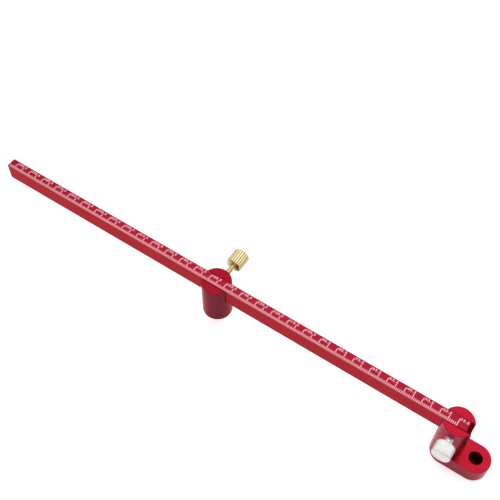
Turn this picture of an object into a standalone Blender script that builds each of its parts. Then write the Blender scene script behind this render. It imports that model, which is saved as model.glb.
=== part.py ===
"""Woodworking compass scriber: a pivot block and a pen holder clamped on a graduated beam.

Metres, +Z up. The origin is on the surface that the tool stands on, under the axis of the
pen holder's column. +X runs along the beam, from the pivot block towards the pen hole.
"""
import math

import bmesh
import bpy

# Beam: a flat bar set on edge
BEAM_LENGTH = 0.300
BEAM_WIDTH = 0.006
BEAM_HEIGHT = 0.0112
BEAM_EDGE_BREAK = 0.00025
BEAM_UNDERSIDE_HEIGHT = 0.0271
BEAM_END_PAST_COLUMN = 0.00515

# Both blocks hold the beam in an open-topped slot
SLOT_CLEARANCE = 0.0003
BLOCK_RISE_OVER_BEAM = 0.0001
BLOCK_RIM_RADIUS = 0.0006

# Pivot block, where it is set on the beam, and the point under it
PIVOT_BLOCK_RADIUS = 0.0085
PIVOT_BLOCK_HEIGHT = 0.0284
PIVOT_TO_COLUMN = 0.1459
NEEDLE_RADIUS = 0.0015
NEEDLE_SEAT_DEPTH = 0.008
NEEDLE_POINT_LENGTH = 0.0045
NEEDLE_TIP_RADIUS = 0.00012
NEEDLE_CLEARANCE = 0.0003

# Pen holder: a column and a low foot with the pen hole
COLUMN_RADIUS = 0.0082
FOOT_HEIGHT = 0.0108
FOOT_SIDE_STEP = 0.00005
PEN_HOLE_RADIUS = 0.00355
PEN_HOLE_OFFSET = 0.0153

# Brass thumb screw of the pivot block
PIVOT_SCREW_RADIUS = 0.0015
PIVOT_SCREW_HEAD_RADIUS = 0.0048
PIVOT_SCREW_HEAD_LENGTH = 0.0094
PIVOT_SCREW_HEAD_STANDOFF = 0.0073
PIVOT_SCREW_KNURLS = 28

# Silver thumb screw of the pen holder
PEN_SCREW_RADIUS = 0.002
PEN_SCREW_HEAD_RADIUS = 0.005
PEN_SCREW_HEAD_LENGTH = 0.0074
PEN_SCREW_HEAD_STANDOFF = 0.0035
PEN_SCREW_KNURLS = 36

# Both screws: knurl, chamfers, running fit in the block and the pad at the tip
KNURL_DEPTH = 0.00025
HEAD_CHAMFER = 0.0008
HEAD_CHAMFER_DROP = 0.0006
THREAD_CLEARANCE = 0.0002
PAD_THICKNESS = 0.0022
PAD_TO_BEAM_GAP = 0.0003
PAD_CLEARANCE = 0.0003
SPIGOT_RADIUS_SHARE = 0.53
SPIGOT_LENGTH_SHARE = 0.45

# Cuts run this far past the faces that they leave
CUT_OVERRUN = 0.002

# Finishes: colour, metallic and roughness
RED_ANODISE_ON_BAR = (0.45, 0.012, 0.03), 0.7, 0.38
RED_ANODISE_ON_BLOCKS = (0.45, 0.012, 0.03), 0.7, 0.35
HARDENED_STEEL = (0.42, 0.42, 0.44), 1, 0.3
TURNED_BRASS = (0.72, 0.53, 0.25), 1, 0.28
NICKEL_PLATE = (0.78, 0.78, 0.76), 1, 0.2
NYLON = (0.75, 0.73, 0.66), 0, 0.55

# Facets round each kind of piece
BLOCK_FACETS = 64
HOLE_FACETS = 48
SCREW_FACETS = 32
RIM_STEPS = 3
SHARP_ANGLE = math.radians(30)

# Heights that several pieces share
BEAM_TOP_HEIGHT = BEAM_UNDERSIDE_HEIGHT + BEAM_HEIGHT
BLOCK_TOP_HEIGHT = BEAM_TOP_HEIGHT + BLOCK_RISE_OVER_BEAM
PIVOT_BLOCK_UNDERSIDE = BLOCK_TOP_HEIGHT - PIVOT_BLOCK_HEIGHT
SLOT_FLOOR_HEIGHT = BEAM_UNDERSIDE_HEIGHT - SLOT_CLEARANCE
SLOT_WIDTH = BEAM_WIDTH + 2 * SLOT_CLEARANCE
SCREW_AXIS_HEIGHT = BEAM_UNDERSIDE_HEIGHT + BEAM_HEIGHT / 2

# Turning a piece from +Z to the far side (+Y) or to the near side (-Y) of the beam
FAR_SIDE = (-math.pi / 2, 0, 0)
NEAR_SIDE = (math.pi / 2, 0, 0)


def clear_scene():
    for old in list(bpy.data.objects):
        bpy.data.objects.remove(old)


def make_material(name, finish):
    colour, metallic, roughness = finish
    material = bpy.data.materials.new(name)
    material.use_nodes = True
    shader = material.node_tree.nodes["Principled BSDF"]
    shader.inputs["Base Color"].default_value = (*colour, 1)
    shader.inputs["Metallic"].default_value = metallic
    shader.inputs["Roughness"].default_value = roughness
    material.diffuse_color = (*colour, 1)
    return material


def add_object(name, mesh_builder, parent=None, location=(0, 0, 0), rotation=(0, 0, 0)):
    """Object from a filled bmesh, placed in its parent's space, round faces shaded smooth."""
    mesh = bpy.data.meshes.new(name)
    bmesh.ops.recalc_face_normals(mesh_builder, faces=mesh_builder.faces)
    mesh_builder.to_mesh(mesh)
    mesh_builder.free()
    mesh.shade_smooth()
    mesh.set_sharp_from_angle(angle=SHARP_ANGLE)
    piece = bpy.data.objects.new(name, mesh)
    piece.location = location
    piece.rotation_euler = rotation
    piece.parent = parent
    bpy.context.collection.objects.link(piece)
    return piece


def ring(outline, height):
    """Outline points lifted to one height."""
    return [(x, y, height) for x, y in outline]


def circle(radius, facets, centre_x=0.0, start=0.0, sweep=2 * math.pi):
    """Points round a circle, or round part of one when sweep is less than a turn."""
    steps = facets if sweep == 2 * math.pi else facets + 1
    angles = [start + sweep * step / facets for step in range(steps)]
    return [(centre_x + radius * math.cos(angle), radius * math.sin(angle)) for angle in angles]


def knurled_circle(radius, depth, knurls):
    """A ridge and a groove for each knurl."""
    outer = circle(radius, 2 * knurls)
    inner = circle(radius - depth, 2 * knurls)
    return [inner[i] if i % 2 else outer[i] for i in range(2 * knurls)]


def loft(rings):
    """Closed solid through rings of equal length, flat at both ends."""
    builder = bmesh.new()
    loops = [[builder.verts.new(point) for point in points] for points in rings]
    count = len(loops[0])
    for lower, upper in zip(loops, loops[1:]):
        for i in range(count):
            j = (i + 1) % count
            builder.faces.new((lower[i], lower[j], upper[j], upper[i]))
    builder.faces.new(list(reversed(loops[0])))
    builder.faces.new(loops[-1])
    return builder


def rounded_edges(bottom, top, rim):
    """(inset, height) pairs up a wall whose lower and upper rims are rounded."""
    turns = [math.pi / 2 * step / RIM_STEPS for step in range(RIM_STEPS + 1)]
    lower = [(rim * (1 - math.sin(turn)), bottom + rim * (1 - math.cos(turn))) for turn in turns]
    upper = [(rim * (1 - math.cos(turn)), top - rim * (1 - math.sin(turn))) for turn in turns]
    return lower + upper


def round_post(radius, bottom, top, rim, facets):
    """Upright cylinder with rounded rims."""
    rows = rounded_edges(bottom, top, rim)
    return loft([ring(circle(radius - inset, facets), height) for inset, height in rows])


def plain_post(radius, bottom, top, facets):
    return loft([ring(circle(radius, facets), bottom), ring(circle(radius, facets), top)])


def box(low, high):
    builder = bmesh.new()
    bmesh.ops.create_cube(builder, size=1)
    for vert in builder.verts:
        for axis in range(3):
            vert.co[axis] = low[axis] if vert.co[axis] < 0 else high[axis]
    return builder


def cut(piece, name, mesh_builder, location=(0, 0, 0), rotation=(0, 0, 0), operation="DIFFERENCE"):
    """Boolean with a hidden tool that moves with the piece."""
    tool = add_object(name, mesh_builder, piece, location, rotation)
    tool.hide_render = True
    tool.display_type = "WIRE"
    boolean = piece.modifiers.new(name, "BOOLEAN")
    boolean.operation = operation
    boolean.solver = "EXACT"
    boolean.object = tool


def finish_cuts(piece):
    """Make the booleans part of the mesh, so that their new edges are shaded sharp too."""
    graph = bpy.context.evaluated_depsgraph_get()
    solid = bpy.data.meshes.new_from_object(piece.evaluated_get(graph))
    tools = [boolean.object for boolean in piece.modifiers]
    piece.modifiers.clear()
    piece.data = solid
    for tool in tools:
        bpy.data.objects.remove(tool)
    solid.shade_smooth()
    solid.set_sharp_from_angle(angle=SHARP_ANGLE)


def add_beam(material):
    """Flat bar on edge, centred on the Y axis, its far end just past the column."""
    half_width = BEAM_WIDTH / 2
    low = (BEAM_END_PAST_COLUMN - BEAM_LENGTH, -half_width, BEAM_UNDERSIDE_HEIGHT)
    high = (BEAM_END_PAST_COLUMN, half_width, BEAM_TOP_HEIGHT)
    beam = add_object("beam", box(low, high))
    bevel = beam.modifiers.new("broken_edges", "BEVEL")
    bevel.width = BEAM_EDGE_BREAK
    bevel.segments = 2
    beam.data.materials.append(material)
    return beam


def cut_slot(piece, block_radius, floor_height, top_height):
    """Open-topped slot for the beam, right through along X."""
    reach = block_radius + CUT_OVERRUN
    low = (-reach, -SLOT_WIDTH / 2, floor_height)
    high = (reach, SLOT_WIDTH / 2, top_height + CUT_OVERRUN)
    cut(piece, piece.name + "_slot_cutter", box(low, high))


def cut_screw_hole(piece, block_radius, screw_radius, axis_height, side):
    """Hole through one wall of the slot, from the beam's middle plane outwards."""
    hole = plain_post(screw_radius + THREAD_CLEARANCE, 0, block_radius + CUT_OVERRUN, SCREW_FACETS)
    cut(piece, piece.name + "_screw_hole_cutter", hole, (0, 0, axis_height), side)


def add_pivot_block(material, beam):
    """Round post, origin on its axis at its underside."""
    post = round_post(PIVOT_BLOCK_RADIUS, 0, PIVOT_BLOCK_HEIGHT, BLOCK_RIM_RADIUS, BLOCK_FACETS)
    block = add_object("pivot_block", post, beam, (-PIVOT_TO_COLUMN, 0, PIVOT_BLOCK_UNDERSIDE))
    floor_height = SLOT_FLOOR_HEIGHT - PIVOT_BLOCK_UNDERSIDE
    axis_height = SCREW_AXIS_HEIGHT - PIVOT_BLOCK_UNDERSIDE
    cut_slot(block, PIVOT_BLOCK_RADIUS, floor_height, PIVOT_BLOCK_HEIGHT)
    cut_screw_hole(block, PIVOT_BLOCK_RADIUS, PIVOT_SCREW_RADIUS, axis_height, FAR_SIDE)
    seat_top = NEEDLE_SEAT_DEPTH + NEEDLE_CLEARANCE
    seat = plain_post(NEEDLE_RADIUS + NEEDLE_CLEARANCE, -CUT_OVERRUN, seat_top, SCREW_FACETS)
    cut(block, "needle_seat_cutter", seat)
    finish_cuts(block)
    block.data.materials.append(material)
    return block


def add_pivot_needle(material, block):
    """Steel pin in the block's underside, ground to a point that stands level with the foot."""
    rows = [
        (NEEDLE_TIP_RADIUS, -PIVOT_BLOCK_UNDERSIDE),
        (NEEDLE_RADIUS, NEEDLE_POINT_LENGTH - PIVOT_BLOCK_UNDERSIDE),
        (NEEDLE_RADIUS, NEEDLE_SEAT_DEPTH),
    ]
    pin = loft([ring(circle(radius, SCREW_FACETS), height) for radius, height in rows])
    needle = add_object("pivot_needle", pin, block)
    needle.data.materials.append(material)
    return needle


def add_pen_holder(material, beam):
    """Column and foot as one piece, origin on the column's axis at its underside."""
    column = round_post(COLUMN_RADIUS, 0, BLOCK_TOP_HEIGHT, BLOCK_RIM_RADIUS, BLOCK_FACETS)
    holder = add_object("pen_holder", column, beam)
    cut(holder, "foot_tool", foot_solid(), operation="UNION")
    cut_slot(holder, COLUMN_RADIUS, SLOT_FLOOR_HEIGHT, BLOCK_TOP_HEIGHT)
    cut_screw_hole(holder, COLUMN_RADIUS, PEN_SCREW_RADIUS, SCREW_AXIS_HEIGHT, NEAR_SIDE)
    pen_hole = plain_post(PEN_HOLE_RADIUS, -CUT_OVERRUN, FOOT_HEIGHT + CUT_OVERRUN, HOLE_FACETS)
    cut(holder, "pen_hole_cutter", pen_hole, (PEN_HOLE_OFFSET, 0, 0))
    finish_cuts(holder)
    holder.data.materials.append(material)
    return holder


def foot_solid():
    """Low foot from the column's axis out to a round end about the pen hole."""
    rows = rounded_edges(0, FOOT_HEIGHT, BLOCK_RIM_RADIUS)
    rings = []
    for inset, height in rows:
        radius = COLUMN_RADIUS - FOOT_SIDE_STEP - inset
        end = circle(radius, BLOCK_FACETS // 2, PEN_HOLE_OFFSET, -math.pi / 2, math.pi)
        rings.append(ring([(0, -radius)] + end + [(0, radius)], height))
    return loft(rings)


def pad_reach():
    """Distance from the beam's middle plane to the pad's outer face."""
    return BEAM_WIDTH / 2 + PAD_TO_BEAM_GAP + PAD_THICKNESS


def add_clamp_pad(name, material, block, screw_radius, axis_height, side):
    """Round pad between screw and beam, with a socket for the screw's spigot."""
    inner = BEAM_WIDTH / 2 + PAD_TO_BEAM_GAP
    disc = plain_post(screw_radius, inner, pad_reach(), SCREW_FACETS)
    pad = add_object(name, disc, block, (0, 0, axis_height), side)
    socket_radius = screw_radius * SPIGOT_RADIUS_SHARE + PAD_CLEARANCE
    socket_depth = PAD_THICKNESS * SPIGOT_LENGTH_SHARE + PAD_CLEARANCE
    socket_bottom = pad_reach() - socket_depth
    socket = plain_post(socket_radius, socket_bottom, pad_reach() + CUT_OVERRUN, SCREW_FACETS)
    cut(pad, name + "_socket_cutter", socket)
    finish_cuts(pad)
    pad.data.materials.append(material)
    return pad


def add_thumb_screw(name, material, pad, screw_radius, head_radius, head_length, head_start, knurls):
    """Spigot, shank and knurled head on one axis, turned as one piece."""
    shank_start = pad_reach() + PAD_CLEARANCE
    spigot_radius = screw_radius * SPIGOT_RADIUS_SHARE
    spigot_start = shank_start - PAD_CLEARANCE - PAD_THICKNESS * SPIGOT_LENGTH_SHARE
    facets = 2 * knurls
    head_end = head_start + head_length
    rings = [
        ring(circle(spigot_radius, facets), spigot_start),
        ring(circle(spigot_radius, facets), shank_start),
        ring(circle(screw_radius, facets), shank_start),
        ring(circle(screw_radius, facets), head_start),
        ring(circle(head_radius - HEAD_CHAMFER, facets), head_start),
        ring(knurled_circle(head_radius, KNURL_DEPTH, knurls), head_start + HEAD_CHAMFER_DROP),
        ring(knurled_circle(head_radius, KNURL_DEPTH, knurls), head_end - HEAD_CHAMFER_DROP),
        ring(circle(head_radius - HEAD_CHAMFER, facets), head_end),
    ]
    screw = add_object(name, loft(rings), pad)
    screw.data.materials.append(material)
    return screw


def main():
    clear_scene()
    beam = add_beam(make_material("red_anodised_beam", RED_ANODISE_ON_BAR))

    block = add_pivot_block(make_material("red_anodised_block", RED_ANODISE_ON_BLOCKS), beam)
    add_pivot_needle(make_material("hardened_steel", HARDENED_STEEL), block)
    pivot_pad = add_clamp_pad(
        "pivot_clamp_pad", make_material("nylon_pivot_pad", NYLON),
        block, PIVOT_SCREW_RADIUS, SCREW_AXIS_HEIGHT - PIVOT_BLOCK_UNDERSIDE, FAR_SIDE)
    add_thumb_screw(
        "pivot_thumb_screw", make_material("turned_brass", TURNED_BRASS),
        pivot_pad, PIVOT_SCREW_RADIUS, PIVOT_SCREW_HEAD_RADIUS, PIVOT_SCREW_HEAD_LENGTH,
        PIVOT_BLOCK_RADIUS + PIVOT_SCREW_HEAD_STANDOFF, PIVOT_SCREW_KNURLS)

    holder = add_pen_holder(make_material("red_anodised_holder", RED_ANODISE_ON_BLOCKS), beam)
    holder_pad = add_clamp_pad(
        "pen_holder_clamp_pad", make_material("nylon_holder_pad", NYLON),
        holder, PEN_SCREW_RADIUS, SCREW_AXIS_HEIGHT, NEAR_SIDE)
    add_thumb_screw(
        "pen_holder_thumb_screw", make_material("nickel_plated_steel", NICKEL_PLATE),
        holder_pad, PEN_SCREW_RADIUS, PEN_SCREW_HEAD_RADIUS, PEN_SCREW_HEAD_LENGTH,
        COLUMN_RADIUS + PEN_SCREW_HEAD_STANDOFF, PEN_SCREW_KNURLS)


main()
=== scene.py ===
"""Looks of the woodworking compass scriber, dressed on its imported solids.

Metres, +Z up. The beam runs along X, the brass screw is on its +Y side and the silver screw on
its -Y side. Sizes come from the solids' boxes or are named below in real millimetres.
"""

import math

import bmesh
import bpy
from mathutils import Matrix, Vector


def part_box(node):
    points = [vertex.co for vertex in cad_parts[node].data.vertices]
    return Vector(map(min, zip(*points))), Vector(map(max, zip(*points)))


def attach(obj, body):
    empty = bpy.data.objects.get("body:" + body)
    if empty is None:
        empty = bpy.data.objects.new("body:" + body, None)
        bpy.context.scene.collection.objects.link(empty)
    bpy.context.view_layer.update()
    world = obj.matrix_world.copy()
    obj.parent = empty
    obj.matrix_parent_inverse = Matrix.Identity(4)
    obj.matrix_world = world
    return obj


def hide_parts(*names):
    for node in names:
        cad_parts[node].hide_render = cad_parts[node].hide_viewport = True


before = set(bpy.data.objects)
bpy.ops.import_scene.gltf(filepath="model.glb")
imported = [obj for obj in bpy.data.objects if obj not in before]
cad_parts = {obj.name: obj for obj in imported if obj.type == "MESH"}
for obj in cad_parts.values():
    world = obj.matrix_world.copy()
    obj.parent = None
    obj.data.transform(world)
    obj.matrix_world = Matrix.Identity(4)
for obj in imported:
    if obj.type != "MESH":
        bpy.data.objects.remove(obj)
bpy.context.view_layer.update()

MM = 0.001
TURN = 2 * math.pi

# Boxes of the solids
BAR_LOW, BAR_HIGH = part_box("beam")
BLOCK_LOW, BLOCK_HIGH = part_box("pivot_block")
HOLDER_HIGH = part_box("pen_holder")[1]
NEEDLE_LOW, NEEDLE_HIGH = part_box("pivot_needle")
BRASS_LOW, BRASS_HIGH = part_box("pivot_thumb_screw")
SILVER_LOW, SILVER_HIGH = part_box("pen_holder_thumb_screw")

# Fineness of the round shapes, and the distance within which two points are one
WALL_SEGMENTS = 192
PEN_HOLE_SEGMENTS = 128
SMALL_ROUND_SEGMENTS = 64
ROUNDING_STEPS = 6
BEVEL_STEPS = 4
MERGE_DISTANCE = 0.0001 * MM

# Beam
BAR_WIDTH = BAR_HIGH.y - BAR_LOW.y
BAR_EDGE_ROUND = 0.22 * MM

# Both blocks: the beam's slot, the rounded rims, the broken edges and the screws' holes
SLOT_FRONT = BAR_LOW.y - 0.3 * MM
SLOT_BACK = BAR_HIGH.y + 0.08 * MM
SLOT_FLOOR = BAR_LOW.z - 0.12 * MM
RIM_RADIUS = 0.4 * MM
EDGE_BREAK = 0.12 * MM
SCREW_HEIGHT = (BAR_LOW.z + BAR_HIGH.z) / 2
SCREW_CLEARANCE = 0.05 * MM
COUNTERSINK_DEPTH = 0.35 * MM
COUNTERSINK_FLARE = 0.6 * MM
CUT_OVERRUN = 2 * MM

# Pivot block, and the needle in it
BLOCK_AXIS_X = (BLOCK_LOW.x + BLOCK_HIGH.x) / 2
BLOCK_RADIUS = BLOCK_HIGH.y
BLOCK_LOWER_RIM = 1 * MM
NEEDLE_RADIUS = NEEDLE_HIGH.x - BLOCK_AXIS_X
NEEDLE_LENGTH = NEEDLE_HIGH.z - NEEDLE_LOW.z
NEEDLE_TIP = [(0.03 * MM, 0), (0.09 * MM, 0.03 * MM), (0.12 * MM, 0.08 * MM)]
NEEDLE_CONE_LENGTH = 4.5 * MM
NEEDLE_CHAMFER = 0.3 * MM
SEAT_RADIUS = NEEDLE_RADIUS + 0.03 * MM
SEAT_TOP = NEEDLE_HIGH.z + 0.1 * MM
SEAT_CHAMFER = 0.3 * MM

# Pen holder
COLUMN_RADIUS = HOLDER_HIGH.y
FOOT_RADIUS = COLUMN_RADIUS - 0.05 * MM
FOOT_END_X = HOLDER_HIGH.x - FOOT_RADIUS
FOOT_TOP = 10.8 * MM
PEN_HOLE_RADIUS = 3.55 * MM
PEN_HOLE_CHAMFER = 0.15 * MM

# Both screws: a plain spigot, a threaded shank, and a knurled head with a shallow dish in its end
SPIGOT_LENGTH = 1.29 * MM
SHANK_CHAMFER = 0.3 * MM
THREAD_START = 0.35 * MM
THREAD_ROWS_PER_PITCH = 8
THREAD_DEPTH_PER_PITCH = 0.61
THREAD_CREST_SHARE = 0.125
THREAD_ROOT_SHARE = 0.25
HEAD_ROUND_WIDTH = 0.8 * MM
HEAD_ROUND_NEAR_LENGTH = 0.6 * MM
POINTS_PER_KNURL = 6
KNURL_ROW_SPACING = 1.2 * MM
KNURL_ROW_MARGIN = 0.25 * MM
KNURL_START = 0.01 * MM
KNURL_CREST_SHARE = 0.45
KNURL_ROOT_SHARE = 0.1
DISH_RIM_WIDTH = 0.5 * MM
DISH_SLOPE_WIDTH = 0.15 * MM
DISH_DEPTH = 0.12 * MM

# Rounding of a head's near edge, in shares of its width and length
HEAD_ROUND_NEAR_CURVE = [(0, 0), (0.45, 0.3), (0.8, 0.62), (1, 1)]

# The real brass knurl is about 1.2 mm from ridge to ridge; it is drawn a little coarser to show
BRASS_SIZES = {
    "head_radius": BRASS_HIGH.z - SCREW_HEIGHT, "head_length": 9.4 * MM,
    "knurls": 20, "knurl_depth": 0.28 * MM,
    "shank_radius": 1.5 * MM, "pitch": 0.5 * MM, "plain_neck": 0.8 * MM, "spigot_radius": 0.795 * MM}
SILVER_SIZES = {
    "head_radius": SILVER_HIGH.z - SCREW_HEIGHT, "head_length": 7.4 * MM,
    "knurls": 36, "knurl_depth": 0.2 * MM,
    "shank_radius": 2 * MM, "pitch": 0.7 * MM, "plain_neck": 4 * MM, "spigot_radius": 1.06 * MM}

# Painted shade on the brass: darker in the knurl's roots and under the head
KNURL_ROOT_PAINTED_SHADE = {
    "colour": "#B29458", "full_radius": 4.62 * MM, "gone_radius": 4.76 * MM,
    "start": BRASS_HIGH.y - 8.8 * MM, "end": BRASS_HIGH.y - 0.7 * MM}
# Painted shade under the head, on its near face around the shank
UNDERSIDE_PAINTED_SHADE = {
    "colour": "#AC9768", "full_radius": 1.9 * MM, "gone_radius": 4.3 * MM,
    "start": BRASS_HIGH.y - 9.5 * MM, "end": BRASS_HIGH.y - 9.3 * MM}

# Marks on the beam's top, measured from the front edge in shares of the beam's width
FIRST_LONG_MARK_X = BAR_HIGH.x - 295.5 * MM
MARKS_BEFORE_FIRST_LONG = 3
LAST_LONG_MARK = 29
MARKS_PER_NUMBER = 10
MARK_PITCH = 1 * MM
MARK_WIDTH = 0.5 * MM
MARK_START_SHARE = 0.03
SHORT_MARK_SHARE = 0.28
MIDDLE_MARK_SHARE = 0.57
LONG_MARK_SHARE = 0.63
MARK_RISE = 0.015 * MM
MARK_DEPTH = 0.06 * MM
LEADER_TURN = math.radians(-28)
LEADER_RISE = 0.005 * MM

# Numbers in the built-in typeface, with its digits' height as a share of its size
FIRST_NUMBER = 305.5
NUMBER_HEIGHT = 1.41 * MM
DIGIT_HEIGHT_SHARE = 0.7
NUMBER_STRETCH = 1.13
NUMBER_WEIGHT = 0.08 * MM
NUMBER_CURVE_STEPS = 3
NUMBER_START = 0.72 * MM
NUMBER_BASE_SHARE = 0.657
DIGIT_ADVANCE = 1.45 * MM
NARROW_ADVANCES = {"1": 1.05 * MM, ".": 0.75 * MM}

# Floor and studio walls, with 1 as white
FLOOR_HALF_SIZE = 3
FLOOR_GLOW_TO_CAMERA = 0.5
FLOOR_GLOW_IN_MIRRORS = 0.25
CLOSED_IN_WITHIN = 15 * MM
CLOSED_IN_SHARE = 0.12
OPEN_SHARE = 0.6
NEAR_WALL_GREY = 0.66
BACK_WALL_GREY = 0.36
TOWARDS_BACK_RIGHT = (0.5, 0.87, 0)

# Camera: fitted to the photograph's scale marks and round edges
CAMERA_PLACE = (0.0079, -0.19991, 0.44807)
CAMERA_AIM = (-0.14392, 0.02982, 0.033)
CAMERA_ROLL = math.radians(0.31)
CAMERA_LENS = 63.73


def add_node(tree, kind, inputs=None, **settings):
    """Adds a node. An input given as a socket is linked, and any other value is set."""
    node = tree.nodes.new(kind)
    for name, value in settings.items():
        setattr(node, name, value)
    for key, value in (inputs or {}).items():
        if isinstance(value, bpy.types.NodeSocket):
            tree.links.new(value, node.inputs[key])
        else:
            node.inputs[key].default_value = value
    return node


def linear(hex_colour):
    """sRGB hex colour as linear RGBA."""
    parts = [int(hex_colour[i:i + 2], 16) / 255 for i in (1, 3, 5)]
    return (*[c / 12.92 if c <= 0.04045 else ((c + 0.055) / 1.055) ** 2.4 for c in parts], 1)


# Materials

# A Mix node's sockets for two colours and their mixture; its number sockets have the same names
COLOUR_A, COLOUR_B, MIXTURE = 6, 7, 2

# Most of a noise texture's values lie between these
NOISE_LOW, NOISE_HIGH = 0.3, 0.7

# A wave texture of scale 1 has this many waves in 2 pi
WAVES = 20

# Light crosses the dyed oxide film twice, so the metal's reflection is red at every angle; only the
# film's own surface, the coat, reflects white.
DYE_TINT = (1, 0.25, 0.3, 1)


def new_material(name):
    """Empty material: its tree and its Object coordinates."""
    material = bpy.data.materials.new(name)
    material.use_nodes = True
    material.node_tree.nodes.clear()
    place = add_node(material.node_tree, "ShaderNodeTexCoord")
    return material, material.node_tree, place


def finish_material(tree, sockets):
    """Ends a material's tree with its shader."""
    shader = add_node(tree, "ShaderNodeBsdfPrincipled", sockets)
    add_node(tree, "ShaderNodeOutputMaterial", {"Surface": shader.outputs["BSDF"]})


def unevenly_dyed(tree, place, dye_and_painted_shade, distance, change):
    """Slow unevenness of the dye: over a real distance, lighter and darker by a share."""
    cloud = add_node(tree, "ShaderNodeTexNoise", {
        "Vector": place.outputs["Object"], "Scale": 1 / distance, "Detail": 2})
    strength = add_node(tree, "ShaderNodeMapRange", {
        "Value": cloud.outputs["Fac"], "From Min": NOISE_LOW, "From Max": NOISE_HIGH,
        "To Min": 1 - change, "To Max": 1 + change})
    return add_node(tree, "ShaderNodeMix", {
        "Factor": 1.0, COLOUR_A: dye_and_painted_shade.outputs[MIXTURE], COLOUR_B: strength.outputs["Result"]},
        data_type="RGBA", blend_type="MULTIPLY")


def anodised_bar():
    """Satin anodised aluminium, extruded: an etched, dyed oxide film, nearly even in colour, with
    faint die lines along the bar."""
    material, tree, place = new_material("satin_red_anodised_bar")
    # Die lines every 0.4 mm, drawn out along the bar; the real ones are about 0.05 mm apart
    stretched = add_node(tree, "ShaderNodeMapping", {
        "Vector": place.outputs["Object"], "Scale": (0.02, 1, 1)})
    die_lines = add_node(tree, "ShaderNodeTexNoise", {
        "Vector": stretched.outputs["Vector"], "Scale": 1 / (0.4 * MM), "Detail": 3, "Roughness": 0.6})
    # Etched grain of about 0.12 mm
    grain = add_node(tree, "ShaderNodeTexNoise", {
        "Vector": place.outputs["Object"], "Scale": 1 / (0.12 * MM), "Detail": 2})
    upwards = add_node(tree, "ShaderNodeSeparateXYZ", {"Vector": place.outputs["Normal"]})
    # Painted light and shade: the sides take a lighter, greyer red than the top, for how the lamps fall on
    # them
    on_top = add_node(tree, "ShaderNodeMapRange", {
        "Value": upwards.outputs["Z"], "From Min": 0.3, "From Max": 0.8})
    dye_and_painted_shade = add_node(tree, "ShaderNodeMix", {
        "Factor": on_top.outputs["Result"], COLOUR_A: linear("#AA2838"), COLOUR_B: linear("#9C102E")},
        data_type="RGBA")
    colour = unevenly_dyed(tree, place, dye_and_painted_shade, 18 * MM, 0.04)
    rough = add_node(tree, "ShaderNodeMapRange", {
        "Value": die_lines.outputs["Fac"], "From Min": NOISE_LOW, "From Max": NOISE_HIGH,
        "To Min": 0.36, "To Max": 0.46})
    lined = add_node(tree, "ShaderNodeBump", {
        "Height": die_lines.outputs["Fac"], "Strength": 0.15, "Distance": 0.02 * MM})
    bumped = add_node(tree, "ShaderNodeBump", {
        "Height": grain.outputs["Fac"], "Normal": lined.outputs["Normal"],
        "Strength": 0.2, "Distance": 0.01 * MM})
    finish_material(tree, {
        "Base Color": colour.outputs[MIXTURE], "Metallic": 1, "Roughness": rough.outputs["Result"],
        "Specular Tint": DYE_TINT, "Normal": bumped.outputs["Normal"],
        "Coat Weight": 0.2, "Coat Roughness": 0.3})
    return material


def anodised_block(name, face_colour, painted_shade_side_colour, film, axis_x):
    """Bright-dip anodised aluminium, turned and milled: clear red film over bright metal, with the
    lathe's rings on the flat faces, and painted shade and painted reflection in a darker, greyer colour on
    the turned sides."""
    material, tree, place = new_material(name)
    centred = add_node(tree, "ShaderNodeMapping", {
        "Vector": place.outputs["Object"], "Location": (-axis_x, 0, 0)})
    # Turning rings 0.35 mm apart; the real feed is about 0.08 mm
    rings = add_node(tree, "ShaderNodeTexWave", {
        "Vector": centred.outputs["Vector"], "Scale": TURN / (WAVES * 0.35 * MM),
        "Distortion": 0.6, "Detail": 1, "Detail Scale": 3},
        wave_type="RINGS", rings_direction="Z")
    # Etched grain of about 0.15 mm
    grain = add_node(tree, "ShaderNodeTexNoise", {
        "Vector": place.outputs["Object"], "Scale": 1 / (0.15 * MM), "Detail": 2})
    # Painted shade and painted reflection: the turned sides take the darker, greyer side colour, the flat
    # faces the face colour
    upwards = add_node(tree, "ShaderNodeSeparateXYZ", {"Vector": place.outputs["Normal"]})
    flatness = add_node(tree, "ShaderNodeMath", {0: upwards.outputs["Z"]}, operation="ABSOLUTE")
    on_face = add_node(tree, "ShaderNodeMapRange", {
        "Value": flatness.outputs["Value"], "From Min": 0.25, "From Max": 0.9})
    dye_and_painted_shade = add_node(tree, "ShaderNodeMix", {
        "Factor": on_face.outputs["Result"], COLOUR_A: linear(painted_shade_side_colour), COLOUR_B: linear(face_colour)},
        data_type="RGBA")
    colour = unevenly_dyed(tree, place, dye_and_painted_shade, 7 * MM, 0.03)
    rough = add_node(tree, "ShaderNodeMapRange", {
        "Value": grain.outputs["Fac"], "From Min": NOISE_LOW, "From Max": NOISE_HIGH,
        "To Min": 0.26, "To Max": 0.36})
    ringed = add_node(tree, "ShaderNodeBump", {
        "Height": rings.outputs["Fac"], "Strength": 0.12, "Distance": 0.01 * MM})
    bumped = add_node(tree, "ShaderNodeBump", {
        "Height": grain.outputs["Fac"], "Normal": ringed.outputs["Normal"],
        "Strength": 0.15, "Distance": 0.01 * MM})
    finish_material(tree, {
        "Base Color": colour.outputs[MIXTURE], "Metallic": 1, "Roughness": rough.outputs["Result"],
        "Specular Tint": DYE_TINT, "Normal": bumped.outputs["Normal"],
        "Coat Weight": film, "Coat IOR": 1.2, "Coat Roughness": 0.2})
    return material


def laser_mark():
    """Laser-marked anodising: the beam bleaches the dye and leaves a dull, slightly pink white."""
    material, tree, place = new_material("laser_bleached_mark")
    # Speckle of about 0.1 mm, as the laser's spots leave
    speckle = add_node(tree, "ShaderNodeTexNoise", {
        "Vector": place.outputs["Object"], "Scale": 1 / (0.1 * MM), "Detail": 2})
    colour = add_node(tree, "ShaderNodeMix", {
        "Factor": speckle.outputs["Fac"], COLOUR_A: linear("#FFC2C9"), COLOUR_B: linear("#FFB2BC")},
        data_type="RGBA")
    finish_material(tree, {"Base Color": colour.outputs[MIXTURE], "Roughness": 0.7})
    return material


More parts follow.
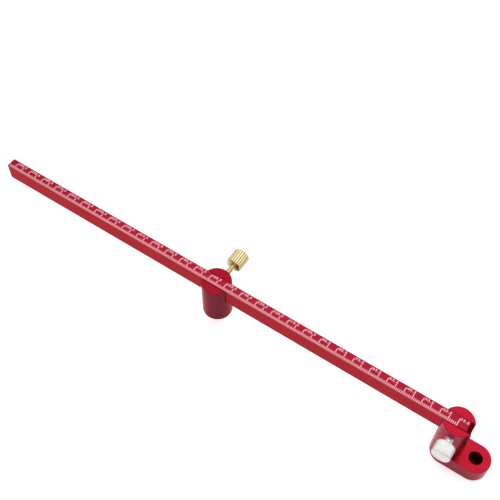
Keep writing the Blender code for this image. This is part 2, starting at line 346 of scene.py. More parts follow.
def add_painted_shade(tree, centred, colour, shade_band):
    """Darkens a colour about the Y axis with painted shade, from the radius where the shade is full to
    the one where it is gone, between its start and end along Y."""
    along = add_node(tree, "ShaderNodeSeparateXYZ", {"Vector": centred.outputs["Vector"]})
    flat = add_node(tree, "ShaderNodeVectorMath", {
        0: centred.outputs["Vector"], 1: (1, 0, 1)}, operation="MULTIPLY")
    reach = add_node(tree, "ShaderNodeVectorMath", {0: flat.outputs[0]}, operation="LENGTH")
    depth = add_node(tree, "ShaderNodeMapRange", {
        "Value": reach.outputs["Value"],
        "From Min": shade_band["gone_radius"], "From Max": shade_band["full_radius"]})
    middle = (shade_band["start"] + shade_band["end"]) / 2
    within = add_node(tree, "ShaderNodeMath", {
        0: along.outputs["Y"], 1: middle, 2: shade_band["end"] - middle}, operation="COMPARE")
    share = add_node(tree, "ShaderNodeMath", {
        0: depth.outputs["Result"], 1: within.outputs[0]}, operation="MULTIPLY")
    return add_node(tree, "ShaderNodeMix", {
        "Factor": share.outputs[0], COLOUR_A: colour.outputs[MIXTURE],
        COLOUR_B: linear(shade_band["colour"])}, data_type="RGBA")


def turned_metal(name, light, dark, roughness, centre, spacing, painted_shade_bands=()):
    """Turned bar stock: the tool leaves rings about the screw's axis, on its flanks and its ends."""
    material, tree, place = new_material(name)
    centred = add_node(tree, "ShaderNodeMapping", {
        "Vector": place.outputs["Object"], "Location": (-centre.x, 0, -centre.z)})
    # Rings drawn coarser than the real feed, which is about 0.08 mm
    flank_rings = add_node(tree, "ShaderNodeTexWave", {
        "Vector": centred.outputs["Vector"], "Scale": TURN / (WAVES * spacing),
        "Distortion": 0.8, "Detail": 1, "Detail Scale": 4},
        wave_type="BANDS", bands_direction="Y")
    end_rings = add_node(tree, "ShaderNodeTexWave", {
        "Vector": centred.outputs["Vector"], "Scale": TURN / (WAVES * spacing),
        "Distortion": 0.5, "Detail": 1, "Detail Scale": 4},
        wave_type="RINGS", rings_direction="Y")
    # Patches of handling, about 2.5 mm across
    handling = add_node(tree, "ShaderNodeTexNoise", {
        "Vector": place.outputs["Object"], "Scale": 1 / (2.5 * MM), "Detail": 3})
    colour = add_node(tree, "ShaderNodeMix", {
        "Factor": handling.outputs["Fac"], COLOUR_A: linear(light), COLOUR_B: linear(dark)},
        data_type="RGBA")
    for shade_band in painted_shade_bands:
        colour = add_painted_shade(tree, centred, colour, shade_band)
    rough = add_node(tree, "ShaderNodeMapRange", {
        "Value": handling.outputs["Fac"], "From Min": NOISE_LOW, "From Max": NOISE_HIGH,
        "To Min": roughness - 0.04, "To Max": roughness + 0.05})
    flanks = add_node(tree, "ShaderNodeBump", {
        "Height": flank_rings.outputs["Fac"], "Strength": 0.2, "Distance": 0.008 * MM})
    ends = add_node(tree, "ShaderNodeBump", {
        "Height": end_rings.outputs["Fac"], "Normal": flanks.outputs["Normal"],
        "Strength": 0.2, "Distance": 0.008 * MM})
    finish_material(tree, {
        "Base Color": colour.outputs[MIXTURE], "Metallic": 1, "Roughness": rough.outputs["Result"],
        "Normal": ends.outputs["Normal"]})
    return material


def natural_nylon():
    """Uncoloured nylon, turned: waxy, a little translucent, with no gloss."""
    material, tree, place = new_material("natural_nylon_pad")
    # Cloudy patches of about 0.5 mm
    waxy = add_node(tree, "ShaderNodeTexNoise", {
        "Vector": place.outputs["Object"], "Scale": 1 / (0.5 * MM), "Detail": 2})
    colour = add_node(tree, "ShaderNodeMix", {
        "Factor": waxy.outputs["Fac"], COLOUR_A: linear("#E6E2D2"), COLOUR_B: linear("#D8D2BE")},
        data_type="RGBA")
    finish_material(tree, {
        "Base Color": colour.outputs[MIXTURE], "Roughness": 0.55,
        "Subsurface Weight": 0.2, "Subsurface Scale": 0.5 * MM})
    return material


# Mesh tools

def mesh_from(name, builder):
    """Mesh from a filled bmesh, closed and facing outwards."""
    bmesh.ops.remove_doubles(builder, verts=builder.verts, dist=MERGE_DISTANCE)
    bmesh.ops.dissolve_degenerate(builder, edges=builder.edges, dist=MERGE_DISTANCE)
    bmesh.ops.recalc_face_normals(builder, faces=builder.faces)
    mesh = bpy.data.meshes.new(name)
    builder.to_mesh(mesh)
    builder.free()
    return mesh


def scene_object(name, data):
    """New object of a mesh or a text, at the origin."""
    piece = bpy.data.objects.new(name, data)
    bpy.context.collection.objects.link(piece)
    return piece


def bake(piece):
    """Puts the piece's evaluated mesh in the place of its modifiers."""
    graph = bpy.context.evaluated_depsgraph_get()
    solid = bpy.data.meshes.new_from_object(piece.evaluated_get(graph))
    piece.modifiers.clear()
    piece.data = solid


def shade(piece, sharp_degrees=30):
    """Smooth round faces, sharp edges and true flats."""
    piece.data.shade_smooth()
    piece.data.set_sharp_from_angle(angle=math.radians(sharp_degrees))
    weighted = piece.modifiers.new("true_flats", "WEIGHTED_NORMAL")
    weighted.keep_sharp = True
    bake(piece)


def skin(builder, loops):
    """Closed skin over loops of as many points each: the walls between them and both ends."""
    count = len(loops[0])
    for lower, upper in zip(loops, loops[1:]):
        for i in range(count):
            j = (i + 1) % count
            builder.faces.new((lower[i], lower[j], upper[j], upper[i]))
    builder.faces.new(list(reversed(loops[0])))
    builder.faces.new(loops[-1])


def lathe(profile, segments):
    """Closed solid of revolution about Z, from (radius, height) points running upwards."""
    builder = bmesh.new()
    angles = [TURN * i / segments for i in range(segments)]
    skin(builder, [
        [builder.verts.new((radius * math.cos(a), radius * math.sin(a), height)) for a in angles]
        for radius, height in profile])
    return builder


def rounded_wall(radius, bottom, top, lower_rim=RIM_RADIUS):
    """(radius, height) points up a round wall with rounded rims."""
    angles = [math.pi / 2 * i / ROUNDING_STEPS for i in range(ROUNDING_STEPS + 1)]
    lower = [
        (radius - lower_rim * (1 - math.sin(a)), bottom + lower_rim * (1 - math.cos(a))) for a in angles]
    upper = [
        (radius - RIM_RADIUS * (1 - math.cos(a)), top - RIM_RADIUS * (1 - math.sin(a))) for a in angles]
    return lower + upper


def prism(outline, low, high, axis):
    """Closed prism: a flat outline of (u, v) points, run along one axis. u and v are the other two
    axes in order."""
    others = [i for i in range(3) if i != axis]
    builder = bmesh.new()
    ends = []
    for along in (low, high):
        loop = []
        for u, v in outline:
            place = Vector()
            place[axis], place[others[0]], place[others[1]] = along, u, v
            loop.append(builder.verts.new(place))
        ends.append(loop)
    skin(builder, ends)
    return builder


def combine(piece, builder, operation="DIFFERENCE"):
    """Boolean of a piece with a shape that isn't kept."""
    tool = scene_object(piece.name + "_tool", mesh_from(piece.name + "_tool", builder))
    boolean = piece.modifiers.new("boolean", "BOOLEAN")
    boolean.operation = operation
    boolean.solver = "EXACT"
    boolean.object = tool
    bake(piece)
    bpy.data.objects.remove(tool)


def cut_slot(piece, axis_x, radius, top):
    """The beam's slot, with its top edges and its four upright edges broken."""
    front, back, out = SLOT_FRONT, SLOT_BACK, radius + CUT_OVERRUN
    wide_front, wide_back = front - 2 * EDGE_BREAK, back + 2 * EDGE_BREAK
    combine(piece, prism(
        [(front, SLOT_FLOOR), (back, SLOT_FLOOR), (back, top - EDGE_BREAK),
         (wide_back, top + EDGE_BREAK), (wide_back, top + CUT_OVERRUN), (wide_front, top + CUT_OVERRUN),
         (wide_front, top + EDGE_BREAK), (front, top - EDGE_BREAK)],
        axis_x - out, axis_x + out, 0))
    mouth = math.sqrt(radius ** 2 - front ** 2)
    for side in (-1, 1):
        inner = axis_x + side * (mouth - 2 * EDGE_BREAK)
        outer = axis_x + side * (mouth + 2 * EDGE_BREAK)
        combine(piece, prism(
            [(inner, front), (outer, wide_front), (outer, wide_back), (inner, back)],
            SLOT_FLOOR, top + CUT_OVERRUN, 2))


def cut_round(piece, profile, matrix, segments=SMALL_ROUND_SEGMENTS):
    """A turned cut, its axis placed by a matrix. It is turned half a step, so that its corners miss
    the corners of the round wall that it opens into."""
    builder = lathe(profile, segments)
    builder.transform(matrix @ Matrix.Rotation(math.pi / segments, 4, "Z"))
    combine(piece, builder)


def screw_frame(axis_x, side):
    """Turns +Z to the far side (+1) or the near side (-1) of the beam, on a screw's axis."""
    return Matrix.Translation((axis_x, 0, SCREW_HEIGHT)) @ Matrix.Rotation(-side * math.pi / 2, 4, "X")


def cut_screw_hole(piece, axis_x, side, screw_radius, wall_radius):
    """Screw's hole through one wall, drawn plain and just clear of the thread, with a countersunk
    mouth."""
    bore = screw_radius + SCREW_CLEARANCE
    mouth = wall_radius - COUNTERSINK_DEPTH
    wide = bore + COUNTERSINK_FLARE
    cut_round(piece, [
        (bore, 0), (bore, mouth), (wide, mouth + COUNTERSINK_FLARE), (wide, wall_radius + CUT_OVERRUN)],
        screw_frame(axis_x, side))


def finish_piece(piece, body, material, replaced=None):
    """Gives a finished piece its material and its body, and hides the CAD solid that it replaces."""
    piece.data.materials.clear()
    piece.data.materials.append(material)
    if replaced:
        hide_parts(replaced)
    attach(piece, body)


# Geometry Nodes

def new_geometry_tree(name, sizes):
    """Geometry tree whose inputs are a geometry, named numbers and a material."""
    tree = bpy.data.node_groups.new(name, "GeometryNodeTree")
    sockets = tree.interface
    sockets.new_socket("Geometry", in_out="INPUT", socket_type="NodeSocketGeometry")
    for size in sizes:
        sockets.new_socket(size, in_out="INPUT", socket_type="NodeSocketFloat")
    sockets.new_socket("Material", in_out="INPUT", socket_type="NodeSocketMaterial")
    sockets.new_socket("Geometry", in_out="OUTPUT", socket_type="NodeSocketGeometry")
    given = add_node(tree, "NodeGroupInput")
    return tree, given.outputs


def finish_geometry_tree(tree, geometry, material):
    """Ends a geometry tree with real meshes in their material."""
    real = add_node(tree, "GeometryNodeRealizeInstances", {"Geometry": geometry})
    coloured = add_node(tree, "GeometryNodeSetMaterial", {
        "Geometry": real.outputs["Geometry"], "Material": material})
    add_node(tree, "NodeGroupOutput", {0: coloured.outputs["Geometry"]})


def run_tree(piece, tree, values):
    """Applies a geometry tree to a piece, its inputs set by their sockets' identifiers."""
    grown = piece.modifiers.new(tree.name, "NODES")
    grown.node_group = tree
    for socket in tree.interface.items_tree:
        if socket.in_out == "INPUT" and socket.name in values:
            grown[socket.identifier] = values[socket.name]
    bake(piece)


def groove_tree():
    """Cuts grooves round Z into a turned mesh, between two heights. With no lead they are a straight
    knurl; with one groove and a lead they are a thread."""
    tree, given = new_geometry_tree("grooves", (
        "Radius", "Depth", "Grooves", "Turns per metre", "Crest share", "Root share", "Start", "End"))
    place = add_node(tree, "GeometryNodeInputPosition").outputs["Position"]
    along = add_node(tree, "ShaderNodeSeparateXYZ", {"Vector": place}).outputs
    flat = add_node(tree, "ShaderNodeVectorMath", {0: place, 1: (1, 1, 0)}, operation="MULTIPLY").outputs[0]
    reach = add_node(tree, "ShaderNodeVectorMath", {0: flat}, operation="LENGTH").outputs["Value"]
    angle = add_node(tree, "ShaderNodeMath", {0: along["Y"], 1: along["X"]}, operation="ARCTAN2")
    share = add_node(tree, "ShaderNodeMath", {0: angle.outputs[0], 1: TURN}, operation="DIVIDE")
    around = add_node(tree, "ShaderNodeMath", {
        0: share.outputs[0], 1: given["Grooves"]}, operation="MULTIPLY")
    phase = add_node(tree, "ShaderNodeMath", {
        0: along["Z"], 1: given["Turns per metre"], 2: around.outputs[0]}, operation="MULTIPLY_ADD")
    # Triangle wave: 0 on a crest, 1 in the middle of a groove
    folded = add_node(tree, "ShaderNodeMath", {0: phase.outputs[0], 1: 0.5}, operation="PINGPONG")
    rise = add_node(tree, "ShaderNodeMath", {0: folded.outputs[0], 1: 2.0}, operation="MULTIPLY")
    root = add_node(tree, "ShaderNodeMath", {0: 1.0, 1: given["Root share"]}, operation="SUBTRACT")
    depth = add_node(tree, "ShaderNodeMapRange", {
        "Value": rise.outputs[0], "From Min": given["Crest share"], "From Max": root.outputs[0],
        "To Max": given["Depth"]})
    wanted = add_node(tree, "ShaderNodeMath", {
        0: given["Radius"], 1: depth.outputs["Result"]}, operation="SUBTRACT")
    radius = add_node(tree, "ShaderNodeMath", {0: reach, 1: wanted.outputs[0]}, operation="MINIMUM")
    scale = add_node(tree, "ShaderNodeMath", {0: radius.outputs[0], 1: reach}, operation="DIVIDE")
    narrowed = add_node(tree, "ShaderNodeCombineXYZ", {
        "X": scale.outputs[0], "Y": scale.outputs[0], "Z": 1.0})
    moved = add_node(tree, "ShaderNodeVectorMath", {
        0: place, 1: narrowed.outputs["Vector"]}, operation="MULTIPLY")
    above = add_node(tree, "FunctionNodeCompare", {
        0: along["Z"], 1: given["Start"]}, operation="GREATER_THAN")
    below = add_node(tree, "FunctionNodeCompare", {
        0: along["Z"], 1: given["End"]}, operation="LESS_THAN")
    within = add_node(tree, "FunctionNodeBooleanMath", {0: above.outputs[0], 1: below.outputs[0]})
    cut = add_node(tree, "GeometryNodeSetPosition", {
        "Geometry": given["Geometry"], "Selection": within.outputs[0], "Position": moved.outputs[0]})
    finish_geometry_tree(tree, cut.outputs["Geometry"], given["Material"])
    return tree


def every_nth(tree, number, count):
    """Whether a mark's number is a multiple of a count."""
    rest = add_node(tree, "ShaderNodeMath", {
        0: number.outputs[0], 1: count}, operation="FLOORED_MODULO")
    is_multiple = add_node(tree, "FunctionNodeCompare", {
        0: rest.outputs[0], 1: 0.5}, operation="LESS_THAN")
    return is_multiple.outputs[0]


def mark_tree():
    """Rule marks along X from the origin: long ones every tenth, middle ones every fifth, and a
    leader from each long mark towards its number, as long as the marks are apart."""
    tree, given = new_geometry_tree("rule_marks", (
        "Marks", "Before first long", "Pitch", "Width", "Short", "Middle", "Long", "Thickness",
        "Leader rise"))
    step = add_node(tree, "ShaderNodeCombineXYZ", {"X": given["Pitch"]})
    first = add_node(tree, "ShaderNodeMath", {
        0: given["Pitch"], 1: given["Before first long"]}, operation="MULTIPLY")
    start = add_node(tree, "ShaderNodeMath", {0: first.outputs[0], 1: -1.0}, operation="MULTIPLY")
    start_place = add_node(tree, "ShaderNodeCombineXYZ", {"X": start.outputs[0]})
    line = add_node(tree, "GeometryNodeMeshLine", {
        "Count": given["Marks"], "Start Location": start_place.outputs[0], "Offset": step.outputs[0]})
    index = add_node(tree, "GeometryNodeInputIndex").outputs[0]
    number = add_node(tree, "ShaderNodeMath", {
        0: index, 1: given["Before first long"]}, operation="SUBTRACT")
    is_fifth = every_nth(tree, number, MARKS_PER_NUMBER / 2)
    is_tenth = every_nth(tree, number, MARKS_PER_NUMBER)
    lesser = add_node(tree, "GeometryNodeSwitch", {
        0: is_fifth, 1: given["Short"], 2: given["Middle"]}, input_type="FLOAT")
    length = add_node(tree, "GeometryNodeSwitch", {
        0: is_tenth, 1: lesser.outputs[0], 2: given["Long"]}, input_type="FLOAT")
    size = add_node(tree, "ShaderNodeCombineXYZ", {
        "X": given["Width"], "Y": length.outputs[0], "Z": given["Thickness"]})
    unit = add_node(tree, "GeometryNodeMeshCube", {"Size": (1, 1, 1)})
    stroke = add_node(tree, "GeometryNodeTransform", {
        "Geometry": unit.outputs["Mesh"], "Translation": (0, 0.5, -0.5)})
    marks = add_node(tree, "GeometryNodeInstanceOnPoints", {
        "Points": line.outputs["Mesh"], "Instance": stroke.outputs["Geometry"], "Scale": size.outputs[0]})
    leader_size = add_node(tree, "ShaderNodeCombineXYZ", {
        "X": given["Width"], "Y": given["Pitch"], "Z": given["Thickness"]})
    # The leader starts with its left corner at the mark's, and lies a hair higher, clear of its face
    corner = add_node(tree, "ShaderNodeMath", {
        0: given["Width"], 1: math.sin(LEADER_TURN) / 2, 2: given["Long"]}, operation="MULTIPLY_ADD")
    leader_place = add_node(tree, "ShaderNodeCombineXYZ", {
        "Y": corner.outputs[0], "Z": given["Leader rise"]})
    lifted = add_node(tree, "GeometryNodeSetPosition", {
        "Geometry": line.outputs["Mesh"], "Offset": leader_place.outputs[0]})
    leaders = add_node(tree, "GeometryNodeInstanceOnPoints", {
        "Points": lifted.outputs["Geometry"], "Selection": is_tenth,
        "Instance": stroke.outputs["Geometry"], "Rotation": (0, 0, LEADER_TURN),
        "Scale": leader_size.outputs[0]})
    joined = add_node(tree, "GeometryNodeJoinGeometry", {0: marks.outputs["Instances"]})
    tree.links.new(leaders.outputs["Instances"], joined.inputs[0])
    finish_geometry_tree(tree, joined.outputs[0], given["Material"])
    return tree


# Pieces

def make_bar(material):
    """Extruded bar, cut to length, its edges broken by tumbling."""
    builder = bmesh.new()
    bmesh.ops.create_cube(builder, size=1)
    for vert in builder.verts:
        for axis in range(3):
            vert.co[axis] = BAR_LOW[axis] if vert.co[axis] < 0 else BAR_HIGH[axis]
    bmesh.ops.bevel(
        builder, geom=builder.edges, offset=BAR_EDGE_ROUND, segments=BEVEL_STEPS, profile=0.5,
        affect="EDGES")
    bar = scene_object("graduated_beam", mesh_from("graduated_beam", builder))
    shade(bar, sharp_degrees=50)
    finish_piece(bar, "beam", material, "beam")


def make_scale(material):
    """Marks and numbers, a hair above the bar's top."""
    marks = scene_object("scale_marks", bpy.data.meshes.new("scale_marks"))
    run_tree(marks, mark_tree(), {
        "Marks": MARKS_BEFORE_FIRST_LONG + MARKS_PER_NUMBER * LAST_LONG_MARK + 1.0,
        "Before first long": float(MARKS_BEFORE_FIRST_LONG), "Pitch": MARK_PITCH, "Width": MARK_WIDTH,
        "Short": BAR_WIDTH * SHORT_MARK_SHARE, "Middle": BAR_WIDTH * MIDDLE_MARK_SHARE,
        "Long": BAR_WIDTH * LONG_MARK_SHARE, "Thickness": MARK_DEPTH, "Leader rise": LEADER_RISE,
        "Material": material})
    marks.data.transform(Matrix.Translation((
        FIRST_LONG_MARK_X, BAR_LOW.y + BAR_WIDTH * MARK_START_SHARE, BAR_HIGH.z + MARK_RISE)))
    base = BAR_LOW.y + BAR_WIDTH * NUMBER_BASE_SHARE
    level = BAR_HIGH.z + MARK_RISE - MARK_DEPTH / 2
    glyphs = {character: glyph_plate(character) for character in "0123456789."}
    builder = bmesh.new()
    for i in range(LAST_LONG_MARK + 1):
        start = FIRST_LONG_MARK_X + NUMBER_START + MARKS_PER_NUMBER * i * MARK_PITCH
        for character in f"{FIRST_NUMBER - MARKS_PER_NUMBER * i:.1f}":
            plate = glyphs[character].copy()
            plate.transform(Matrix.Translation((start, base, level)))
            builder.from_mesh(plate)
            bpy.data.meshes.remove(plate)
            start += NARROW_ADVANCES.get(character, DIGIT_ADVANCE)
    numbers = scene_object("scale_numbers", mesh_from("scale_numbers", builder))
    for piece in (marks, numbers):
        finish_piece(piece, "beam", material)


def glyph_plate(character):
    """Bold character as a thin plate, its left edge at the origin."""
    text = bpy.data.curves.new("glyph", "FONT")
    text.body = character
    text.size = NUMBER_HEIGHT / DIGIT_HEIGHT_SHARE
    text.offset = NUMBER_WEIGHT
    text.extrude = MARK_DEPTH / 2
    text.resolution_u = NUMBER_CURVE_STEPS
    source = scene_object("glyph", text)
    plate = bpy.data.meshes.new_from_object(source.evaluated_get(bpy.context.evaluated_depsgraph_get()))
    bpy.data.objects.remove(source)
    plate.transform(Matrix.Diagonal((NUMBER_STRETCH, 1, 1, 1)))
    plate.transform(Matrix.Translation((-min(vert.co.x for vert in plate.vertices), 0, 0)))
    return plate


def make_pivot_block(material):
    """Turned round block with the slot, the screw's hole and the needle's seat."""
    builder = lathe(rounded_wall(BLOCK_RADIUS, BLOCK_LOW.z, BLOCK_HIGH.z, BLOCK_LOWER_RIM), WALL_SEGMENTS)
    builder.transform(Matrix.Translation((BLOCK_AXIS_X, 0, 0)))
    block = scene_object("turned_pivot_block", mesh_from("turned_pivot_block", builder))
    cut_slot(block, BLOCK_AXIS_X, BLOCK_RADIUS, BLOCK_HIGH.z)
    cut_screw_hole(block, BLOCK_AXIS_X, 1, BRASS_SIZES["shank_radius"], BLOCK_RADIUS)
    wide = SEAT_RADIUS + SEAT_CHAMFER
    cut_round(block, [
        (wide, BLOCK_LOW.z - CUT_OVERRUN), (wide, BLOCK_LOW.z),
        (SEAT_RADIUS, BLOCK_LOW.z + SEAT_CHAMFER), (SEAT_RADIUS, SEAT_TOP)],
        Matrix.Translation((BLOCK_AXIS_X, 0, 0)))
    shade(block)
    finish_piece(block, "pivot_block", material, "pivot_block")


def make_pen_holder(material):
    """Column and foot milled from one piece, with the slot, the screw's hole and the pen's hole."""
    column = lathe(rounded_wall(COLUMN_RADIUS, 0, HOLDER_HIGH.z), WALL_SEGMENTS)
    holder = scene_object("milled_pen_holder", mesh_from("milled_pen_holder", column))
    combine(holder, foot_shape(), "UNION")
    cut_slot(holder, 0, COLUMN_RADIUS, HOLDER_HIGH.z)
    cut_screw_hole(holder, 0, -1, SILVER_SIZES["shank_radius"], COLUMN_RADIUS)
    wide = PEN_HOLE_RADIUS + PEN_HOLE_CHAMFER
    cut_round(holder, [
        (wide, -CUT_OVERRUN), (wide, 0), (PEN_HOLE_RADIUS, PEN_HOLE_CHAMFER),
        (PEN_HOLE_RADIUS, FOOT_TOP - PEN_HOLE_CHAMFER), (wide, FOOT_TOP), (wide, FOOT_TOP + CUT_OVERRUN)],
        Matrix.Translation((FOOT_END_X, 0, 0)), PEN_HOLE_SEGMENTS)
    shade(holder)
    finish_piece(holder, "pen_holder", material, "pen_holder")


def foot_shape():
    """Foot from the column's axis out to a round end about the pen hole."""
    builder = bmesh.new()
    steps = WALL_SEGMENTS // 2
    angles = [math.pi * (i / steps - 0.5) for i in range(steps + 1)]
    loops = []
    for radius, height in rounded_wall(FOOT_RADIUS, 0, FOOT_TOP):
        end = [(FOOT_END_X + radius * math.cos(a), radius * math.sin(a)) for a in angles]
        outline = [(0, -radius)] + end + [(0, radius)]
        loops.append([builder.verts.new((x, y, height)) for x, y in outline])
    skin(builder, loops)
    return builder


def rows_between(low, high, spacing):
    """Evenly spaced values from low up to high, both included."""
    count = max(1, round((high - low) / spacing))
    return [low + (high - low) * i / count for i in range(count + 1)]


def screw_profile(start, end, sizes):
    """(radius, distance) points along a screw, with rows of points for its thread and its knurl."""
    head_radius, shank_radius = sizes["head_radius"], sizes["shank_radius"]
    head_start = end - sizes["head_length"]
    shoulder = start + SPIGOT_LENGTH
    profile = [(sizes["spigot_radius"], start), (sizes["spigot_radius"], shoulder)]
    profile += [(shank_radius - SHANK_CHAMFER, shoulder), (shank_radius, shoulder + SHANK_CHAMFER)]
    profile += [(shank_radius, z) for z in rows_between(
        shoulder + THREAD_START, head_start - sizes["plain_neck"], sizes["pitch"] / THREAD_ROWS_PER_PITCH)]
    profile += [(shank_radius, head_start)]
    profile += [
        (head_radius - HEAD_ROUND_WIDTH * (1 - u), head_start + HEAD_ROUND_NEAR_LENGTH * v)
        for u, v in HEAD_ROUND_NEAR_CURVE]
    profile += [
        (head_radius, z)
        for z in rows_between(head_start + KNURL_ROW_MARGIN, end - KNURL_ROW_MARGIN, KNURL_ROW_SPACING)
        if head_start + HEAD_ROUND_WIDTH < z < end - HEAD_ROUND_WIDTH]
    angles = [math.pi / 2 * i / ROUNDING_STEPS for i in range(ROUNDING_STEPS, -1, -1)]
    profile += [
        (head_radius - HEAD_ROUND_WIDTH * (1 - math.sin(a)), end - HEAD_ROUND_WIDTH * (1 - math.cos(a)))
        for a in angles]
    dish = head_radius - HEAD_ROUND_WIDTH - DISH_RIM_WIDTH
    return profile + [(dish, end), (dish - DISH_SLOPE_WIDTH, end - DISH_DEPTH)]


def make_thumb_screw(name, node, material, axis_x, side, reach, sizes):
    """Turned screw, its thread and knurl cut by the groove tree and then set on its own axis."""
    start, end = reach
    head_start = end - sizes["head_length"]
    builder = lathe(screw_profile(start, end, sizes), POINTS_PER_KNURL * sizes["knurls"])
    screw = scene_object(name, mesh_from(name, builder))
    run_tree(screw, GROOVES, {
        "Radius": sizes["shank_radius"], "Depth": THREAD_DEPTH_PER_PITCH * sizes["pitch"],
        "Grooves": -1.0, "Turns per metre": 1 / sizes["pitch"],
        "Crest share": THREAD_CREST_SHARE, "Root share": THREAD_ROOT_SHARE,
        "Start": start + SPIGOT_LENGTH + SHANK_CHAMFER, "End": head_start - sizes["plain_neck"],
        "Material": material})
    run_tree(screw, GROOVES, {
        "Radius": sizes["head_radius"], "Depth": sizes["knurl_depth"],
        "Grooves": float(sizes["knurls"]), "Turns per metre": 0.0,
        "Crest share": KNURL_CREST_SHARE, "Root share": KNURL_ROOT_SHARE,
        "Start": head_start + KNURL_START, "End": end + CUT_OVERRUN,
        "Material": material})
    screw.data.transform(screw_frame(axis_x, side))
    shade(screw, sharp_degrees=40)
    finish_piece(screw, node, material, node)


def make_needle(material):
    """Hardened pin, ground to a point with a rounded tip."""
    builder = lathe(NEEDLE_TIP + [
        (NEEDLE_RADIUS, NEEDLE_CONE_LENGTH), (NEEDLE_RADIUS, NEEDLE_LENGTH - NEEDLE_CHAMFER),
        (NEEDLE_RADIUS - NEEDLE_CHAMFER, NEEDLE_LENGTH)], SMALL_ROUND_SEGMENTS)
    builder.transform(Matrix.Translation((BLOCK_AXIS_X, 0, NEEDLE_LOW.z)))
    needle = scene_object("ground_needle", mesh_from("ground_needle", builder))
    shade(needle)
    finish_piece(needle, "pivot_block", material, "pivot_needle")


def dress_pads(material):
    """The clamp pads stay as the CAD solids, in their own material."""
    for name in ("pivot_clamp_pad", "pen_holder_clamp_pad"):
        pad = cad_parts[name]
        pad.data.materials.clear()
        pad.data.materials.append(material)


# Stage

def make_stage():
    """Pale floor, shown white to the camera and in reflections except where it is closed in, as
    under the foot and in the pen hole, where its colour is painted shade with a painted red bounce
    from the walls."""
    builder = bmesh.new()
    bmesh.ops.create_grid(builder, x_segments=1, y_segments=1, size=FLOOR_HALF_SIZE)
    floor = scene_object("floor", mesh_from("floor", builder))
    material, tree = new_material("pale_floor")[:2]
    path = add_node(tree, "ShaderNodeLightPath").outputs
    mirrored = add_node(tree, "ShaderNodeMath", {
        0: path["Is Glossy Ray"], 1: path["Is Transmission Ray"]}, operation="MAXIMUM")
    in_mirror = add_node(tree, "ShaderNodeMath", {
        0: mirrored.outputs[0], 1: FLOOR_GLOW_IN_MIRRORS}, operation="MULTIPLY")
    to_camera = add_node(tree, "ShaderNodeMath", {
        0: path["Is Camera Ray"], 1: FLOOR_GLOW_TO_CAMERA}, operation="MULTIPLY")
    seen = add_node(tree, "ShaderNodeMath", {
        0: in_mirror.outputs[0], 1: to_camera.outputs[0]}, operation="MAXIMUM")
    openness = add_node(tree, "ShaderNodeAmbientOcclusion", {"Distance": CLOSED_IN_WITHIN}, samples=8)
    kept = add_node(tree, "ShaderNodeMapRange", {
        "Value": openness.outputs["AO"], "From Min": CLOSED_IN_SHARE, "From Max": OPEN_SHARE},
        interpolation_type="SMOOTHSTEP")
    glow = add_node(tree, "ShaderNodeMath", {
        0: seen.outputs[0], 1: kept.outputs["Result"]}, operation="MULTIPLY")
    # Painted shade and painted red bounce light where the floor is closed in
    floor_colour_with_painted_shade = add_node(tree, "ShaderNodeMix", {
        "Factor": kept.outputs["Result"], COLOUR_A: linear("#7A2028"), COLOUR_B: linear("#F4F4F4")},
        data_type="RGBA")
    lit = add_node(tree, "ShaderNodeBsdfDiffuse", {"Color": floor_colour_with_painted_shade.outputs[MIXTURE]})
    own = add_node(tree, "ShaderNodeEmission", {"Color": (1, 1, 1, 1), "Strength": glow.outputs[0]})
    both = add_node(tree, "ShaderNodeAddShader", {0: lit.outputs[0], 1: own.outputs[0]})
    add_node(tree, "ShaderNodeOutputMaterial", {"Surface": both.outputs[0]})
    floor.data.materials.append(material)


def make_world():
    """Studio walls and ceiling: lighter on the near side, darker at the back right, and a white
    backdrop to the camera."""
    world = bpy.data.worlds.new("studio")
    bpy.context.scene.world = world
    world.use_nodes = True
    tree = world.node_tree
    tree.nodes.clear()
    place = add_node(tree, "ShaderNodeTexCoord")
    towards_back = add_node(tree, "ShaderNodeVectorMath", {
        0: place.outputs["Generated"], 1: TOWARDS_BACK_RIGHT}, operation="DOT_PRODUCT")
    grey = add_node(tree, "ShaderNodeMapRange", {
        "Value": towards_back.outputs["Value"], "From Min": -1,
        "To Min": NEAR_WALL_GREY, "To Max": BACK_WALL_GREY})
    path = add_node(tree, "ShaderNodeLightPath").outputs
    seen = add_node(tree, "ShaderNodeMath", {
        0: grey.outputs["Result"], 1: path["Is Camera Ray"]}, operation="MAXIMUM")
    back = add_node(tree, "ShaderNodeBackground", {"Color": seen.outputs[0]})
    add_node(tree, "ShaderNodeOutputWorld", {"Surface": back.outputs[0]})


def add_light(name, size, watts, azimuth, elevation, distance):
    """Square lamp aimed at the beam's middle; azimuth 0 is on the near side, 90 on the pen side."""
    aim = Vector(((BAR_LOW.x + BAR_HIGH.x) / 2, 0, BAR_LOW.z))
    a, e = math.radians(azimuth), math.radians(elevation)
    away = Vector((math.sin(a) * math.cos(e), -math.cos(a) * math.cos(e), math.sin(e)))
    lamp = bpy.data.lights.new(name, "AREA")
    lamp.size = size
    lamp.energy = watts
    light = bpy.data.objects.new(name, lamp)
    light.location = aim + away * distance
    light.rotation_euler = (-away).to_track_quat("-Z", "Y").to_euler()
    bpy.context.collection.objects.link(light)


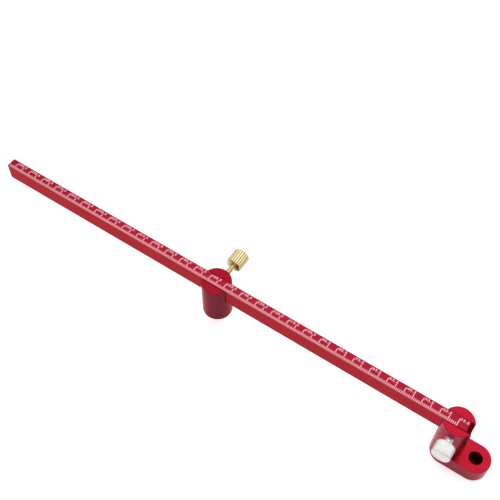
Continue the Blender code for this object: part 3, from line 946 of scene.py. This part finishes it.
def make_camera():
    """Camera at the photograph's place and angle."""
    lens = bpy.data.cameras.new("camera")
    lens.lens = CAMERA_LENS
    lens.sensor_width = 36
    lens.clip_start, lens.clip_end = 0.01, 20
    camera = bpy.data.objects.new("camera", lens)
    view = Vector(CAMERA_AIM) - Vector(CAMERA_PLACE)
    turn = view.to_track_quat("-Z", "Y").to_matrix() @ Matrix.Rotation(CAMERA_ROLL, 3, "Z")
    camera.location = CAMERA_PLACE
    camera.rotation_euler = turn.to_euler()
    bpy.context.collection.objects.link(camera)
    bpy.context.scene.camera = camera


GROOVES = groove_tree()

make_camera()
make_bar(anodised_bar())
make_scale(laser_mark())
# Painted shade: the pivot block's face and side colours are darker than the holder's
make_pivot_block(anodised_block(
    "bright_red_anodised_block_painted_darker", face_colour="#92041E", painted_shade_side_colour="#682C3A", film=0.6,
    axis_x=BLOCK_AXIS_X))
make_pen_holder(anodised_block(
    "bright_red_anodised_holder", face_colour="#AD0D2B", painted_shade_side_colour="#94424E", film=0.75, axis_x=0))
make_needle(turned_metal(
    "ground_hardened_steel", light="#B4B6BA", dark="#8E9096", roughness=0.28,
    centre=Vector((BLOCK_AXIS_X, 0, 0)), spacing=0.2 * MM))
brass = turned_metal(
    "turned_brass", light="#FAECC6", dark="#E8D49C", roughness=0.24,
    centre=Vector((BLOCK_AXIS_X, 0, SCREW_HEIGHT)), spacing=0.25 * MM,
    painted_shade_bands=(KNURL_ROOT_PAINTED_SHADE, UNDERSIDE_PAINTED_SHADE))
make_thumb_screw(
    "knurled_brass_screw", "pivot_thumb_screw", brass,
    axis_x=BLOCK_AXIS_X, side=1, reach=(BRASS_LOW.y, BRASS_HIGH.y), sizes=BRASS_SIZES)
nickel = turned_metal(
    "bright_nickel_plate", light="#ECEAEA", dark="#E0DEDF", roughness=0.24,
    centre=Vector((0, 0, SCREW_HEIGHT)), spacing=0.25 * MM)
make_thumb_screw(
    "knurled_silver_screw", "pen_holder_thumb_screw", nickel,
    axis_x=0, side=-1, reach=(-SILVER_HIGH.y, -SILVER_LOW.y), sizes=SILVER_SIZES)
dress_pads(natural_nylon())

make_stage()
make_world()
add_light("overhead_softbox", size=1.3, watts=5.4, azimuth=200, elevation=60, distance=1.1)
add_light("back_right_key", size=0.4, watts=0.8, azimuth=130, elevation=45, distance=1.1)
add_light("front_fill", size=0.8, watts=1.6, azimuth=20, elevation=45, distance=1.0)
bpy.context.scene.view_settings.view_transform = "Standard"
